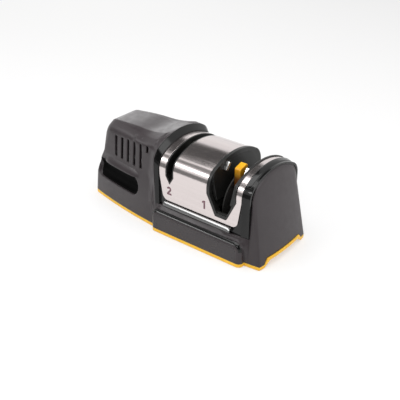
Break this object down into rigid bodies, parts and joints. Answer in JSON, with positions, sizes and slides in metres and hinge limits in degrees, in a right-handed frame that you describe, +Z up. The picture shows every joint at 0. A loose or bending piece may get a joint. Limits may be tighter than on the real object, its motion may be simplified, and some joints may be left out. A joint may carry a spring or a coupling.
{
  "type": "knife sharpener",
  "caption": "Countertop powered knife sharpener with a vented grip housing, a steel saddle over a wheel slot and a hand-drawn hone slot, and an end power button.",
  "frame": {"origin": "on the table under the middle of the body's bounding box", "axes": "+X from the grip housing to the end block, +Y to the back, +Z up"},
  "size_m": [0.193, 0.0776, 0.0813],
  "materials": {
    "body_plastic": "fine satin texture",
    "amber_base": "satin",
    "cover_steel": "brushed along the body",
    "gloss_black": "high gloss",
    "plate_plastic": "satin, left bare",
    "liner_plastic": "fine texture",
    "amber_guide": "semi gloss",
    "insert_chrome": "polished",
    "rod_ceramic": "fine ground",
    "abrasive": "fine grit on a flexible backing",
    "hub_plastic": "moulded",
    "bright_steel": "zinc plated",
    "bush_bronze": "sintered",
    "coupling_aluminium": "turned",
    "motor_steel": "plated can",
    "cap_plastic": "moulded",
    "terminal_brass": "stamped",
    "chassis_plastic": "moulded",
    "board_laminate": "lacquered laminate",
    "socket_plastic": "moulded",
    "button_plastic": "semi gloss",
    "foot_rubber": "matt"
  },
  "bodies": {
    "base": {"main_housing": "body_plastic", "base_tray": "amber_base", "steel_cover": "cover_steel", "gloss_surround": "gloss_black", "front_plate": "plate_plastic", "grip_inlays": "gloss_black", "sharpening_liner": "liner_plastic", "honing_liner": "liner_plastic", "centre_guide": "amber_guide", "guide_inserts": "insert_chrome", "hone_rods": "rod_ceramic", "spindle_bushes": "bush_bronze", "motor_can": "motor_steel", "motor_end_cap": "cap_plastic", "motor_terminals": "terminal_brass", "motor_screws": "bright_steel", "chassis": "chassis_plastic", "circuit_board": "board_laminate", "board_screws": "bright_steel", "switch_body": "socket_plastic", "dc_socket": "socket_plastic", "inlet_pin": "bright_steel", "rubber_feet": "foot_rubber", "base_screws": "bright_steel"},
    "rotor": {"motor_shaft": "bright_steel", "coupling": "coupling_aluminium", "spindle": "bright_steel", "wheel_hub": "hub_plastic", "disc_washers": "bright_steel", "abrasive_disc_left": "abrasive", "abrasive_disc_right": "abrasive"},
    "button": {"power_button": "button_plastic"}
  },
  "joints": [
    {"name": "drive", "type": "hinge", "parent": "base", "child": "rotor", "pos_m": [0.0576, 0, 0.036], "axis": [1, 0, 0], "continuous": true},
    {"name": "button_press", "type": "slide", "parent": "base", "child": "button", "axis": [1, 0, 0], "range_m": [0, 0.0016], "stiffness_N_per_m": 600, "springref_m": -0.001}
  ]
}
